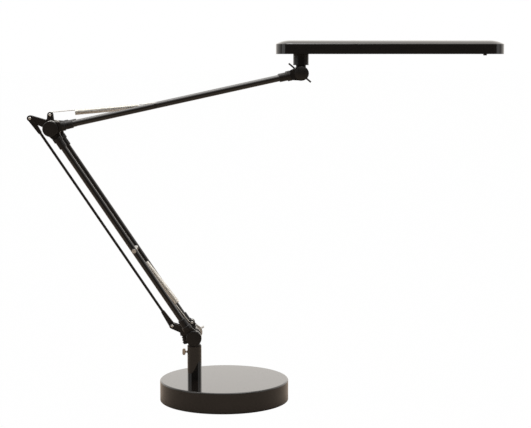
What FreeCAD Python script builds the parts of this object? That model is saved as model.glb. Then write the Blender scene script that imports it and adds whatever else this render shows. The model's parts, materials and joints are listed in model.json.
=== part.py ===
import FreeCAD, Part
import math
import os

from FreeCAD import Placement, Rotation, Vector

# A spring-balanced desk lamp: round weighted base, short post, two arms of twin tubes kept in
# step by a link rod, and a flat LED head. Millimetres, Z up, X from the elbow towards the head,
# Y away from the side that carries the hub caps. The origin is the centre of the base's underside.

# ---- Base and post
BASE_DIAMETER = 190.0
BASE_HEIGHT = 31.4
COVER_WALL = 1.5
COVER_CHAMFER = 1.4
COVER_LIFT = 0.7  # the cover's rim stands this far above the table
PAD_THICKNESS = 1.6
PAD_INSET = 3.0
PLATE_THICKNESS = 1.2
WEIGHT_THICKNESS = 14.0
WEIGHT_BOSS_DIAMETER = 36.0
POST_OFFSET = 44.0  # from the base's centre to the post, towards the elbow
POST_DIAMETER = 20.8
POST_WALL = 1.5
POST_HEIGHT = 50.0  # from the base's top to the top of the bush's flange
PLUG_LENGTH = 20.0
POST_BOLT_DIAMETER = 8.0
POST_BOLT_HEAD = (13.0, 7.0)  # diameter, height
POST_BOLT_KEY = (3.5, 3.5)  # corner radius and depth of its hexagon socket
PLATE_SCREW_DIAMETER = 4.0
PLATE_SCREW_LENGTH = 10.0
PLATE_SCREW_CIRCLE = 120.0
PLATE_SCREWS = 3
BUSH_LENGTH = 26.0
BUSH_FLANGE = 1.0

# ---- Swivel and clamp screw
SPIGOT_DIAMETER = 12.0
SPIGOT_LENGTH = 24.0
SPIGOT_FLANGE = (18.5, 2.0)  # diameter, thickness
SPIGOT_GROOVE = (9.6, 7.0)  # diameter, width, where the clamp screw bears
PIVOT_RISE = 16.0  # from the top of the post to the shoulder axis
CLAMP_DROP = 9.2  # from the top of the post down to the clamp screw
CLAMP_DIAMETER = 4.8
CLAMP_HEAD = (9.5, 4.6, 4.2)  # height, thickness, width of its flat thumb grip
CLAMP_STEM = 2.8  # from the post's wall to the thumb grip
CLAMP_NECK = 1.5  # radius of the stem between them

# ---- Arms
ARM_LENGTH = 368.0  # pivot to pivot, the lower arm and its link rod
UPPER_ARM_LENGTH = 369.5
LOWER_LEAN = 33.7  # degrees from upright, away from the head
UPPER_RISE = 12.4  # degrees above level
TUBE_DIAMETER = 8.6
TUBE_WALL = 0.9
TUBE_SPACING = 47.0  # between the centre lines of an arm's two tubes
TUBE_SEAT = 17.5  # from the pivot to the tube's end, inside its fitting
EYE_RADIUS = 10.4
EYE_THICKNESS = 3.6
SLEEVE_RADIUS = 7.0
SLEEVE_START = 16.5
SLEEVE_END = 21.5
COLLAR_RADIUS = 5.7
COLLAR_END = 33.0
FITTING_CHAMFER = 0.7
CROSS_PIN_AT = 155.0  # from the lower pivot of each arm
CROSS_PIN_DIAMETER = 5.4
CROSS_PIN_HEAD = (6.4, 0.6)  # diameter, thickness

# ---- Brackets at the shoulder and the elbow
BRACKET_PLATE = 2.0
BRACKET_GAP = 6.0  # between the two plates
BRACKET_HUB_RADIUS = 9.4
CRANK_PIN = (-32.5, 14.3)
CRANK_EAR_RADIUS = 4.3
CRANK_ROOT = (-9.0, 5.6, 6.0)  # centre and radius where the crank arm meets the hub
SPRING_PIN = (-3.2, 19.5)
SPRING_EAR_RADIUS = 4.0
SPRING_EAR_ROOT = (-3.0, 7.0, 5.2)
EAR_FILLET = 2.5
CRANK_PIN_RADIUS = 1.5
RIVET_HEAD = (2.3, 0.9)  # radius, height
TONGUE_WIDTH = 14.0
CORE_RADIUS = 8.5
SPACER_RADIUS = 8.0
SPACER_FLANGE = (11.4, 1.6)  # radius, thickness of the plated flange against an eye
CRANK_DIMPLE = (-25.5, 9.8, 1.5)  # centre and radius of the shallow dimple in the crank arm
DIMPLE_DEPTH = 0.6

# ---- Hub bolts, caps and wing nuts
BOLT_DIAMETER = 6.0
BOLT_HEAD = (12.0, 2.0)  # diameter, thickness
BOLT_END = 1.0  # past its wing nut
CAP_RADIUS = 11.3
CAP_THICKNESS = 3.4
CAP_EDGE = 0.7
HEAD_CAP_RADIUS = 10.3
HEAD_CAP_DOME = 2.4
WASHER_RADIUS = 10.4
WASHER_THICKNESS = 2.1
WASHER_TEETH = 24
WASHER_TOOTH = 0.7
NUT_BOSS = (5.6, 4.4, 6.0)  # radius at the washer, at the end, and height
NUT_WING_ROOT = (5.2, 3.4, 2.8)  # out from the axis, along it, and radius
NUT_WING_TIP = (12.4, 7.4, 2.2)
HEAD_NUT_WING_TIP = (19.3, 8.4, 2.2)
NUT_WING_THICKNESS = 2.4
SHOULDER_WING_ANGLE = 22.0  # degrees above level
ELBOW_WING_ANGLE = -56.5
HEAD_WING_ANGLE = -40.0

# ---- Link rod
ROD_DIAMETER = 3.9
ROD_EYE_RADIUS = 4.3
ROD_EYE_THICKNESS = 4.4
ROD_END_LENGTH = 24.5
ROD_END_RADIUS = 2.6

# ---- Springs
WIRE_DIAMETER = 1.2
WIRE_SIDES = 6
COIL_DIAMETER = 8.0
COIL_TURNS = 36
EAR_LEG = 36.0  # from the ear's pin to the coil
ANCHOR_LEG = 26.0  # from the coil to the cross pin
HOOK_TURN = 250.0  # degrees that a hook wraps round its pin

# ---- Cord gland under the shoulder's crank arm
GLAND_PLACE = (-16.0, 10.5)  # X and Y from the shoulder axis
GLAND_TOP = 0.8  # top of its tab, from the shoulder axis
GLAND_TILT = 10.0
GLAND_RADII = (4.1, 3.2, 2.9)  # rib, between ribs, and in the tab
GLAND_RIBS = 4
GLAND_RIB_PITCH = 3.6
GLAND_BORE = 1.7
GLAND_COLLAR = 1.6
TAB_SIZE = (10.0, 12.5, 2.0)

# ---- Head joint
KNUCKLE_RADIUS = 10.9
KNUCKLE_HALF_WIDTH = 7.5
KNUCKLE_NECK = (14.2, 13.0)
NECK_START = 11.7  # from the head axis up to the neck's lower edge
NECK_RADIUS = 11.15
HEAD_RISE = 27.6  # from the head axis up to the head's underside
NECK_LIP = 0.5
SWIVEL_NUT = (9.0, 4.0)  # radius, thickness

# ---- Head
HEAD_LENGTH = 330.8
HEAD_DEPTH = 56.0
HEAD_OVERHANG = 36.4  # from the neck's axis to the near end
HEAD_CORNER = 23.5
HEAD_SIDE = 14.4
HEAD_HEIGHT = 19.7
CROWN_RUN = 20.0
HEAD_WALL = 1.8
TRAY_THICKNESS = 2.0
WINDOW_START = 25.0  # from the neck's axis
WINDOW_END_MARGIN = 46.0  # from the window to the head's far end
WINDOW_WIDTH = 30.0
WINDOW_CORNER = 6.0
DIFFUSER_RECESS = 0.3
DIFFUSER_FLANGE = (3.0, 1.2)  # width past the window, thickness
RAIL_HEIGHT = 4.5
RAIL_WIDTH = 2.0
BOARD_THICKNESS = 1.6
LED_SIZE = (3.5, 2.8, 0.9)
LED_ROWS = 2
LED_COLUMNS = 14
LED_ROW_GAP = 16.0
TRAY_SCREW_INSET = (15.0, 9.0)  # from the head's ends and from its long sides
SCREW_DIAMETER = 2.6
SCREW_LENGTH = 9.0
SCREW_HEAD = (5.2, 1.5)  # diameter, height of the countersunk head
SCREW_BOSS_RADIUS = 3.4
NECK_SCREWS = 3
NECK_SCREW_CIRCLE = 17.6
BUTTON_INSET = 28.5  # from the head's far end
BUTTON_SIDE = 12.0  # from the head's centre line, towards the caps
BUTTON_RADIUS = 2.7
BUTTON_PROUD = 2.0
BUTTON_TRAVEL = 0.8
BUTTON_FLANGE = (4.0, 0.8)
SWITCH_BODY = (14.0, 9.0, 4.0)

# ---- Clearances
RUNNING_CLEARANCE = 0.05  # radial, shafts that turn
SEAT_CLEARANCE = 0.05  # radial, pieces pushed or screwed together
FACE_GAP = 0.1  # between flat faces that turn on each other
LAP_GAP = 0.3  # between the two arms' eyes
OPEN_PIVOT_CLEARANCE = 0.3  # radial, the link rod's upper eye
COVER_CLEARANCE = 0.5  # between the weight and the cover's wall
TRAY_CLEARANCE = 0.2
BUTTON_CLEARANCE = 0.1

# ---- Places worked out from the sizes above
X_AXIS = Vector(1, 0, 0)
Y_AXIS = Vector(0, 1, 0)
Z_AXIS = Vector(0, 0, 1)
POST_TOP = BASE_HEIGHT + POST_HEIGHT
SHOULDER = Vector(-POST_OFFSET, 0, POST_TOP + PIVOT_RISE)
LOWER_ANGLE = 90.0 + LOWER_LEAN
BOLT_RADIUS = BOLT_DIAMETER / 2
TUBE_Y = TUBE_SPACING / 2
OUTER_FACE = TUBE_Y + LAP_GAP / 2 + EYE_THICKNESS
STACK_FACE = OUTER_FACE + FACE_GAP
PLATE_FACE = BRACKET_GAP / 2 + BRACKET_PLATE
BOLT_HOLE = BOLT_RADIUS + SEAT_CLEARANCE
SCREW_HOLE = SCREW_DIAMETER / 2 + SEAT_CLEARANCE
COIL_RADIUS = (COIL_DIAMETER - WIRE_DIAMETER) / 2
SPRING_PIN_RADIUS = COIL_RADIUS - WIRE_DIAMETER / 2 - SEAT_CLEARANCE


def along(angle, distance):
    """The vector of a given length that lies in the arms' plane, angle degrees above level."""
    return Vector(distance * math.cos(math.radians(angle)), 0, distance * math.sin(math.radians(angle)))


ELBOW = SHOULDER + along(LOWER_ANGLE, ARM_LENGTH)
HEAD_JOINT = ELBOW + along(UPPER_RISE, UPPER_ARM_LENGTH)
HEAD_ORIGIN = HEAD_JOINT + Vector(0, 0, HEAD_RISE)


def placed(shape, origin, angle=0.0):
    """shape, modelled about its own origin, turned angle degrees upwards and moved to origin."""
    moved = shape.copy()
    moved.Placement = Placement(origin, Rotation(Y_AXIS, -angle)) * moved.Placement
    return moved


def cylinder(radius, start, axis, length):
    """A round bar from start along axis."""
    return Part.makeCylinder(radius, length, start, axis)


def across(radius, y_low, y_high, x=0.0, z=0.0):
    """A round bar along Y between two values of y."""
    return cylinder(radius, Vector(x, y_low, z), Y_AXIS, y_high - y_low)


def block(x_low, x_high, y_low, y_high, z_low, z_high):
    """A plain block between six planes."""
    size = (x_high - x_low, y_high - y_low, z_high - z_low)
    return Part.makeBox(size[0], size[1], size[2], Vector(x_low, y_low, z_low))


def polygon_wire(sides, radius, centre, normal):
    """A closed regular polygon of straight edges, its corners on a circle."""
    circle = Part.makeCircle(radius, centre, normal)
    step = (circle.LastParameter - circle.FirstParameter) / sides
    corners = [circle.valueAt(circle.FirstParameter + i * step) for i in range(sides)]
    return Part.makePolygon(corners + corners[:1])


def turned(profile, origin=Vector(0, 0, 0), axis=Z_AXIS):
    """A solid of revolution: profile is a closed run of (radius, height) points about Z."""
    points = [Vector(radius, 0, height) for radius, height in profile]
    face = Part.Face(Part.makePolygon(points + points[:1]))
    solid = face.revolve(Vector(0, 0, 0), Z_AXIS, 360)
    solid.Placement = Placement(origin, Rotation(Z_AXIS, axis))
    return solid


def pad(x, y, length, width, z_low, z_high):
    """A plain block centred on x and y."""
    return block(x - length / 2, x + length / 2, y - width / 2, y + width / 2, z_low, z_high)


def link_face(first, first_radius, second, second_radius, to_vector):
    """The flat outline round two circles, its two sides tangent to both."""
    reach = math.hypot(second[0] - first[0], second[1] - first[1])
    heading = math.atan2(second[1] - first[1], second[0] - first[0])
    spread = math.acos((first_radius - second_radius) / reach)

    def on(centre, radius, angle):
        return to_vector(centre[0] + radius * math.cos(angle), centre[1] + radius * math.sin(angle))

    first_high = on(first, first_radius, heading + spread)
    first_low = on(first, first_radius, heading - spread)
    second_high = on(second, second_radius, heading + spread)
    second_low = on(second, second_radius, heading - spread)
    edges = [
        Part.Arc(first_high, on(first, first_radius, heading + math.pi), first_low).toShape(),
        Part.makeLine(first_low, second_low),
        Part.Arc(second_low, on(second, second_radius, heading), second_high).toShape(),
        Part.makeLine(second_high, first_high),
    ]
    return Part.Face(Part.Wire(edges))


def link_plate(first, first_radius, second, second_radius, y_low, y_high):
    """A plate in the arms' plane with the outline of link_face."""
    face = link_face(first, first_radius, second, second_radius, lambda x, z: Vector(x, y_low, z))
    return face.extrude(Vector(0, y_high - y_low, 0))


def rounded_box(x_low, x_high, y_low, y_high, z_low, z_high, radius):
    """A block whose four upright edges are rounded."""
    body = block(x_low, x_high, y_low, y_high, z_low, z_high)
    upright = [edge for edge in body.Edges if abs(edge.Vertexes[0].Z - edge.Vertexes[1].Z) > 1e-6]
    return body.makeFillet(radius, upright)


# ------------------------------------------------------------------ base and post

PLATE_LOW = PAD_THICKNESS
WEIGHT_LOW = PLATE_LOW + PLATE_THICKNESS
COVER_CEILING = BASE_HEIGHT - COVER_WALL
COVER_INSIDE = BASE_DIAMETER / 2 - COVER_WALL
POST_AXIS = Vector(-POST_OFFSET, 0, 0)
POST_BORE = POST_DIAMETER / 2 - POST_WALL
BOLT_SEAT = WEIGHT_LOW + POST_BOLT_HEAD[1] + 1.0
CLAMP_Z = POST_TOP - CLAMP_DROP


def base_cover():
    """The spun steel cover, open below, with its softened upper edge and the post bolt's hole."""
    radius = BASE_DIAMETER / 2
    shell = turned(
        [
            (COVER_INSIDE, COVER_LIFT),
            (radius, COVER_LIFT),
            (radius, BASE_HEIGHT - COVER_CHAMFER),
            (radius - COVER_CHAMFER, BASE_HEIGHT),
            (0, BASE_HEIGHT),
            (0, COVER_CEILING),
            (COVER_INSIDE, COVER_CEILING),
        ]
    )
    hole = POST_BOLT_DIAMETER / 2 + SEAT_CLEARANCE
    return shell.cut(cylinder(hole, POST_AXIS, Z_AXIS, BASE_HEIGHT + 1))


def screw_places():
    """Where the bottom plate's screws stand."""
    step = 2 * math.pi / PLATE_SCREWS
    reach = PLATE_SCREW_CIRCLE / 2
    return [Vector(reach * math.cos(i * step), reach * math.sin(i * step), 0) for i in range(PLATE_SCREWS)]


def base_weight():
    """The cast-iron weight, with a boss that carries the post and a pocket for its bolt."""
    radius = COVER_INSIDE - COVER_CLEARANCE
    low = Vector(0, 0, WEIGHT_LOW)
    weight = cylinder(radius, low, Z_AXIS, WEIGHT_THICKNESS)
    boss = cylinder(WEIGHT_BOSS_DIAMETER / 2, POST_AXIS + low, Z_AXIS, COVER_CEILING - WEIGHT_LOW)
    weight = weight.fuse(boss).removeSplitter()
    pocket = cylinder(POST_BOLT_HEAD[0] / 2 + 1.5, POST_AXIS, Z_AXIS, BOLT_SEAT)
    weight = weight.cut(pocket)
    weight = weight.cut(cylinder(POST_BOLT_DIAMETER / 2 + SEAT_CLEARANCE, POST_AXIS, Z_AXIS, BASE_HEIGHT))
    for place in screw_places():
        drill = cylinder(PLATE_SCREW_DIAMETER / 2 + SEAT_CLEARANCE, place + low, Z_AXIS, PLATE_SCREW_LENGTH)
        weight = weight.cut(drill)
    return weight


def bottom_plate():
    """The thin steel plate that closes the base from below."""
    plate = cylinder(COVER_INSIDE - TRAY_CLEARANCE, Vector(0, 0, PLATE_LOW), Z_AXIS, PLATE_THICKNESS)
    for place in screw_places():
        plate = plate.cut(cylinder(PLATE_SCREW_DIAMETER / 2 + SEAT_CLEARANCE, place, Z_AXIS, BASE_HEIGHT))
    return plate


def base_pad():
    """The soft pad that the lamp stands on, cut away round the screw heads."""
    pad = cylinder(COVER_INSIDE - PAD_INSET, Vector(0, 0, 0), Z_AXIS, PAD_THICKNESS)
    for place in screw_places():
        pad = pad.cut(cylinder(PLATE_SCREW_DIAMETER + 0.5, place, Z_AXIS, PAD_THICKNESS))
    return pad


def plate_screws():
    """The pan-head screws of the bottom plate, one solid each."""
    radius = PLATE_SCREW_DIAMETER / 2
    screws = []
    for place in screw_places():
        head = cylinder(radius * 1.9, place + Vector(0, 0, 0.3), Z_AXIS, PAD_THICKNESS - 0.3)
        shank = cylinder(radius, place + Vector(0, 0, PAD_THICKNESS), Z_AXIS, PLATE_SCREW_LENGTH)
        screws.append(head.fuse(shank).removeSplitter())
    return Part.makeCompound(screws)


def post_tube():
    """The steel post, a plain tube with the clamp screw's hole near its top."""
    low = POST_AXIS + Vector(0, 0, BASE_HEIGHT)
    height = POST_HEIGHT - BUSH_FLANGE
    tube = cylinder(POST_DIAMETER / 2, low, Z_AXIS, height).cut(cylinder(POST_BORE, low, Z_AXIS, height))
    hole = cylinder(CLAMP_DIAMETER / 2 + 0.3, Vector(-POST_OFFSET, 0, CLAMP_Z), X_AXIS * -1, POST_DIAMETER)
    return tube.cut(hole)


def post_plug():
    """The threaded plug in the foot of the post."""
    low = POST_AXIS + Vector(0, 0, BASE_HEIGHT)
    plug = cylinder(POST_BORE - SEAT_CLEARANCE, low, Z_AXIS, PLUG_LENGTH)
    return plug.cut(cylinder(POST_BOLT_DIAMETER / 2 + SEAT_CLEARANCE, low, Z_AXIS, PLUG_LENGTH))


def post_bolt():
    """The bolt that pulls the post down on the cover and the weight's boss."""
    diameter, height = POST_BOLT_HEAD
    seat = POST_AXIS + Vector(0, 0, BOLT_SEAT)
    head = cylinder(diameter / 2, seat, Z_AXIS * -1, height)
    top = BASE_HEIGHT + PLUG_LENGTH - 3.0
    shank = cylinder(POST_BOLT_DIAMETER / 2, seat, Z_AXIS, top - BOLT_SEAT)
    corner, depth = POST_BOLT_KEY
    socket = polygon_wire(6, corner, seat - Vector(0, 0, height), Z_AXIS)
    key = Part.Face(socket).extrude(Vector(0, 0, depth))
    return head.fuse(shank).removeSplitter().cut(key)


def pivot_bush():
    """The flanged brass bush in the top of the post, in which the swivel turns."""
    inner = SPIGOT_DIAMETER / 2 + RUNNING_CLEARANCE
    outer = POST_BORE - SEAT_CLEARANCE
    flange_low = POST_TOP - BUSH_FLANGE
    low = flange_low - BUSH_LENGTH
    profile = [
        (inner, low),
        (outer, low),
        (outer, flange_low),
        (POST_DIAMETER / 2, flange_low),
        (POST_DIAMETER / 2, POST_TOP),
        (inner, POST_TOP),
    ]
    bush = turned(profile, POST_AXIS)
    hole = CLAMP_DIAMETER / 2 + RUNNING_CLEARANCE
    return bush.cut(cylinder(hole, Vector(-POST_OFFSET, 0, CLAMP_Z), X_AXIS * -1, POST_DIAMETER))


def clamp_screw():
    """The thumb screw that clamps the swivel: a stem, a flared neck and a flat upright grip."""
    height, thickness, width = CLAMP_HEAD
    tip = SPIGOT_GROOVE[0] / 2 + 3 * FACE_GAP
    wall = POST_DIAMETER / 2
    grip = wall + CLAMP_STEM
    radius = CLAMP_DIAMETER / 2
    stem = turned(
        [
            (0, tip),
            (radius, tip),
            (radius, wall),
            (CLAMP_NECK, wall + 0.8),
            (CLAMP_NECK, grip - 1.0),
            (CLAMP_NECK + 0.5, grip + 1.0),
            (0, grip + 1.0),
        ],
        Vector(-POST_OFFSET, 0, CLAMP_Z),
        X_AXIS * -1,
    )
    lobe = thickness / 2
    middle = -POST_OFFSET - grip - lobe
    low_end = (middle, CLAMP_Z - height / 2 + lobe)
    high_end = (middle, CLAMP_Z + height / 2 - lobe)
    plate = link_plate(low_end, lobe, high_end, lobe, -width / 2, width / 2)
    return stem.fuse(plate).removeSplitter()


# ------------------------------------------------------------------ brackets


def bracket_plate(y_low):
    """One stamped plate: a round hub with a crank arm and a spring ear, in the hub's own frame."""
    y_high = y_low + BRACKET_PLATE
    plate = across(BRACKET_HUB_RADIUS, y_low, y_high)
    crank = link_plate(CRANK_PIN, CRANK_EAR_RADIUS, CRANK_ROOT[:2], CRANK_ROOT[2], y_low, y_high)
    ear = link_plate(SPRING_PIN, SPRING_EAR_RADIUS, SPRING_EAR_ROOT[:2], SPRING_EAR_ROOT[2], y_low, y_high)
    plate = plate.fuse([crank, ear]).removeSplitter()
    corner = [edge for edge in plate.Edges if is_inner_corner(edge)]
    plate = plate.makeFillet(EAR_FILLET, corner)
    holes = [
        across(BOLT_HOLE, y_low, y_high),
        across(CRANK_PIN_RADIUS + SEAT_CLEARANCE, y_low, y_high, CRANK_PIN[0], CRANK_PIN[1]),
        across(CRANK_PIN_RADIUS + SEAT_CLEARANCE, y_low, y_high, SPRING_PIN[0], SPRING_PIN[1]),
        across(CRANK_DIMPLE[2], y_low, y_low + DIMPLE_DEPTH, CRANK_DIMPLE[0], CRANK_DIMPLE[1]),
    ]
    return plate.cut(Part.makeCompound(holes))


def is_inner_corner(edge):
    """True for the straight edge where the crank arm's upper side runs into the spring ear."""
    if len(edge.Vertexes) != 2:
        return False
    start, end = edge.Vertexes[0].Point, edge.Vertexes[1].Point
    runs_across = abs(abs(start.y - end.y) - edge.Length) < 1e-6 and edge.Length > BRACKET_PLATE / 2
    left = SPRING_PIN[0] - 2 * SPRING_EAR_RADIUS
    return runs_across and left < start.x < SPRING_PIN[0] and CRANK_ROOT[1] < start.z < SPRING_PIN[1]


def rivet(place, middle_radius):
    """A rivet through both plates, thicker between them where a hook or an eye bears on it."""
    head_radius, head_height = RIVET_HEAD
    half_gap = BRACKET_GAP / 2
    profile = [
        (0, -PLATE_FACE - head_height),
        (head_radius * 0.6, -PLATE_FACE - head_height),
        (head_radius, -PLATE_FACE),
        (CRANK_PIN_RADIUS, -PLATE_FACE),
        (CRANK_PIN_RADIUS, -half_gap),
        (middle_radius, -half_gap),
        (middle_radius, half_gap),
        (CRANK_PIN_RADIUS, half_gap),
        (CRANK_PIN_RADIUS, PLATE_FACE),
        (head_radius, PLATE_FACE),
        (head_radius * 0.6, PLATE_FACE + head_height),
        (0, PLATE_FACE + head_height),
    ]
    if middle_radius == CRANK_PIN_RADIUS:
        del profile[4:8]
    return turned(profile, Vector(place[0], 0, place[1]), Y_AXIS)


def bracket_rivets():
    """The crank pin's rivet and the spring pin's rivet."""
    return Part.makeCompound([rivet(CRANK_PIN, CRANK_PIN_RADIUS), rivet(SPRING_PIN, SPRING_PIN_RADIUS)])


def spacers(reach):
    """The two flanged sleeves on the hub bolt, between the bracket's plates and the arms' eyes."""
    radius, thickness = SPACER_FLANGE
    sleeve = across(SPACER_RADIUS, PLATE_FACE, reach).fuse(across(radius, reach - thickness, reach))
    sleeve = sleeve.removeSplitter().cut(across(BOLT_HOLE, PLATE_FACE, reach))
    return Part.makeCompound([sleeve, mirrored(sleeve)])


def hub_bolt():
    """A hub bolt with a thin round head in front, long enough to pass its wing nut."""
    end = STACK_FACE + WASHER_THICKNESS + FACE_GAP + NUT_BOSS[2] + BOLT_END
    head = across(BOLT_HEAD[0] / 2, -STACK_FACE - BOLT_HEAD[1], -STACK_FACE)
    return head.fuse(across(BOLT_RADIUS, -STACK_FACE, end)).removeSplitter()


def flat_cap():
    """The smooth round cap over a hub bolt's head, with a softened outer edge."""
    side = (CAP_RADIUS, CAP_THICKNESS - CAP_EDGE)
    front = (CAP_RADIUS - CAP_EDGE, CAP_THICKNESS)
    profile = [(0, 0), (CAP_RADIUS, 0), side, front, (0, CAP_THICKNESS)]
    cap = turned(profile, Vector(0, -STACK_FACE, 0), Y_AXIS * -1)
    return cap.cut(across(BOLT_HEAD[0] / 2 + SEAT_CLEARANCE, -STACK_FACE - BOLT_HEAD[1], -STACK_FACE))


def domed_cap():
    """The head joint's cap, domed like a button."""
    straight = CAP_THICKNESS - HEAD_CAP_DOME
    radius = (HEAD_CAP_RADIUS**2 + HEAD_CAP_DOME**2) / (2 * HEAD_CAP_DOME)
    front = -STACK_FACE - CAP_THICKNESS
    ball = Part.makeSphere(radius, Vector(0, front + radius, 0))
    cap = across(HEAD_CAP_RADIUS, front, -STACK_FACE).common(ball)
    wall = across(HEAD_CAP_RADIUS, -STACK_FACE - straight, -STACK_FACE)
    cap = cap.fuse(wall).removeSplitter()
    return cap.cut(across(BOLT_HEAD[0] / 2 + SEAT_CLEARANCE, -STACK_FACE - BOLT_HEAD[1], -STACK_FACE))


def toothed_washer():
    """The plated washer under a wing nut, with fine teeth round its edge."""
    points = []
    for i in range(2 * WASHER_TEETH):
        radius = WASHER_RADIUS - (i % 2) * WASHER_TOOTH
        angle = math.pi * i / WASHER_TEETH
        points.append(Vector(radius * math.cos(angle), STACK_FACE, radius * math.sin(angle)))
    disc = Part.Face(Part.makePolygon(points + points[:1])).extrude(Vector(0, WASHER_THICKNESS, 0))
    return disc.cut(across(BOLT_HOLE, STACK_FACE, STACK_FACE + WASHER_THICKNESS))


def wing_nut(angle, tip_size):
    """A wing nut behind a hub, its two wings angle degrees above level."""
    low = STACK_FACE + WASHER_THICKNESS + FACE_GAP
    wide, narrow, height = NUT_BOSS
    nut = turned([(0, 0), (wide, 0), (narrow, height), (0, height)], Vector(0, low, 0), Y_AXIS)
    half = NUT_WING_THICKNESS / 2
    for side in (1, -1):
        root = (side * NUT_WING_ROOT[0], low + NUT_WING_ROOT[1])
        tip = (side * tip_size[0], low + tip_size[1])
        face = link_face(root, NUT_WING_ROOT[2], tip, tip_size[2], lambda x, y: Vector(x, y, -half))
        nut = nut.fuse(face.extrude(Vector(0, 0, 2 * half)))
    nut = nut.removeSplitter().cut(across(BOLT_RADIUS + RUNNING_CLEARANCE, low, low + 2 * height))
    return placed(nut, Vector(0, 0, 0), angle)


# ------------------------------------------------------------------ shoulder

SPIGOT_BASE = POST_TOP + FACE_GAP - SHOULDER.z  # underside of the spigot's flange, from the shoulder axis


def shoulder_spigot():
    """The turned swivel: a grooved shaft in the bush, a flange, and the tongue between the plates."""
    radius = SPIGOT_DIAMETER / 2
    groove_radius = SPIGOT_GROOVE[0] / 2
    groove = CLAMP_Z - SHOULDER.z
    low = SPIGOT_BASE - SPIGOT_LENGTH
    high = SPIGOT_BASE + SPIGOT_FLANGE[1]
    profile = [
        (0, low),
        (radius - 1.0, low),
        (radius, low + 1.0),
        (radius, groove - SPIGOT_GROOVE[1] / 2),
        (groove_radius, groove - SPIGOT_GROOVE[1] / 2),
        (groove_radius, groove + SPIGOT_GROOVE[1] / 2),
        (radius, groove + SPIGOT_GROOVE[1] / 2),
        (radius, SPIGOT_BASE),
        (SPIGOT_FLANGE[0] / 2, SPIGOT_BASE),
        (SPIGOT_FLANGE[0] / 2, high),
        (0, high),
    ]
    half = BRACKET_GAP / 2
    tongue = block(-TONGUE_WIDTH / 2, TONGUE_WIDTH / 2, -half, half, high - 0.5, 0)
    top = across(TONGUE_WIDTH / 2, -half, half)
    body = turned(profile).fuse([tongue, top]).removeSplitter()
    return body.cut(across(BOLT_HOLE, -half, half))


def shoulder_rear_plate():
    """The rear plate, with a lug and a bent tab that hold the cord gland."""
    low = BRACKET_GAP / 2
    width, depth, thickness = TAB_SIZE
    plate = bracket_plate(low)
    lug = block(-width / 2, width / 2, low, PLATE_FACE, -thickness, CRANK_ROOT[1])
    tab = block(-width / 2, width / 2, low, low + depth, -thickness, 0)
    hole = cylinder(GLAND_RADII[2] + SEAT_CLEARANCE, Vector(0, GLAND_PLACE[1], -thickness), Z_AXIS, thickness)
    place = Vector(GLAND_PLACE[0], 0, GLAND_TOP)
    lug, tab = placed(lug, place, GLAND_TILT), placed(tab.cut(hole), place, GLAND_TILT)
    return plate.fuse([lug, tab]).removeSplitter()


def cord_gland():
    """The ribbed gland, empty, that a supply cord would leave through."""
    rib, waist, neck = GLAND_RADII
    profile = [(GLAND_BORE, GLAND_COLLAR), (GLAND_BORE, -TAB_SIZE[2] - GLAND_RIBS * GLAND_RIB_PITCH)]
    depth = -TAB_SIZE[2] - GLAND_RIBS * GLAND_RIB_PITCH
    for _ in range(GLAND_RIBS):
        profile += [(waist, depth), (waist, depth + GLAND_RIB_PITCH / 2)]
        profile += [(rib, depth + GLAND_RIB_PITCH / 2), (rib, depth + GLAND_RIB_PITCH)]
        depth += GLAND_RIB_PITCH
    profile += [(neck, depth), (neck, 0), (rib, 0), (rib, GLAND_COLLAR)]
    gland = turned(profile, Vector(0, GLAND_PLACE[1], 0))
    return placed(gland, Vector(GLAND_PLACE[0], 0, GLAND_TOP), GLAND_TILT)


# ------------------------------------------------------------------ arms


def arm_fitting(outer):
    """A die-cast arm end about its pivot, the arm along +X and its tube's axis on X.

    Its eye takes the outer or the inner half of the tube's thickness, so that two arms lap."""
    gap = LAP_GAP / 2
    y_low, y_high = (gap, gap + EYE_THICKNESS) if outer else (-gap - EYE_THICKNESS, -gap)
    shoulder = math.sqrt(SLEEVE_RADIUS**2 - (gap + EYE_THICKNESS) ** 2)
    eye = link_plate((0, 0), EYE_RADIUS, (SLEEVE_START, 0), shoulder, y_low, y_high)
    sleeve = turned(
        [
            (0, 0),
            (SLEEVE_RADIUS, 0),
            (SLEEVE_RADIUS, SLEEVE_END - FITTING_CHAMFER),
            (SLEEVE_RADIUS - FITTING_CHAMFER, SLEEVE_END),
            (COLLAR_RADIUS, SLEEVE_END),
            (COLLAR_RADIUS, COLLAR_END - FITTING_CHAMFER),
            (COLLAR_RADIUS - FITTING_CHAMFER, COLLAR_END),
            (0, COLLAR_END),
        ],
        Vector(0, 0, 0),
        X_AXIS,
    )
    sleeve = sleeve.cut(across(SLEEVE_START, -SLEEVE_RADIUS, SLEEVE_RADIUS))
    body = sleeve.fuse(eye).removeSplitter()
    socket = cylinder(TUBE_DIAMETER / 2 + SEAT_CLEARANCE, Vector(TUBE_SEAT, 0, 0), X_AXIS, COLLAR_END)
    bore = across(BOLT_RADIUS + RUNNING_CLEARANCE, y_low, y_high)
    return body.cut(Part.makeCompound([socket, bore]))


def mirrored(shape):
    """shape reflected front to back."""
    return shape.mirror(Vector(0, 0, 0), Y_AXIS)


def arm_tube(arm_length):
    """One tube of an arm, drilled for the cross pin."""
    length = arm_length - 2 * TUBE_SEAT
    start = Vector(TUBE_SEAT, 0, 0)
    tube = cylinder(TUBE_DIAMETER / 2, start, X_AXIS, length)
    tube = tube.cut(cylinder(TUBE_DIAMETER / 2 - TUBE_WALL, start, X_AXIS, length))
    hole = across(CROSS_PIN_DIAMETER / 2 + SEAT_CLEARANCE, -TUBE_DIAMETER, TUBE_DIAMETER, CROSS_PIN_AT)
    return tube.cut(hole)


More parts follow.
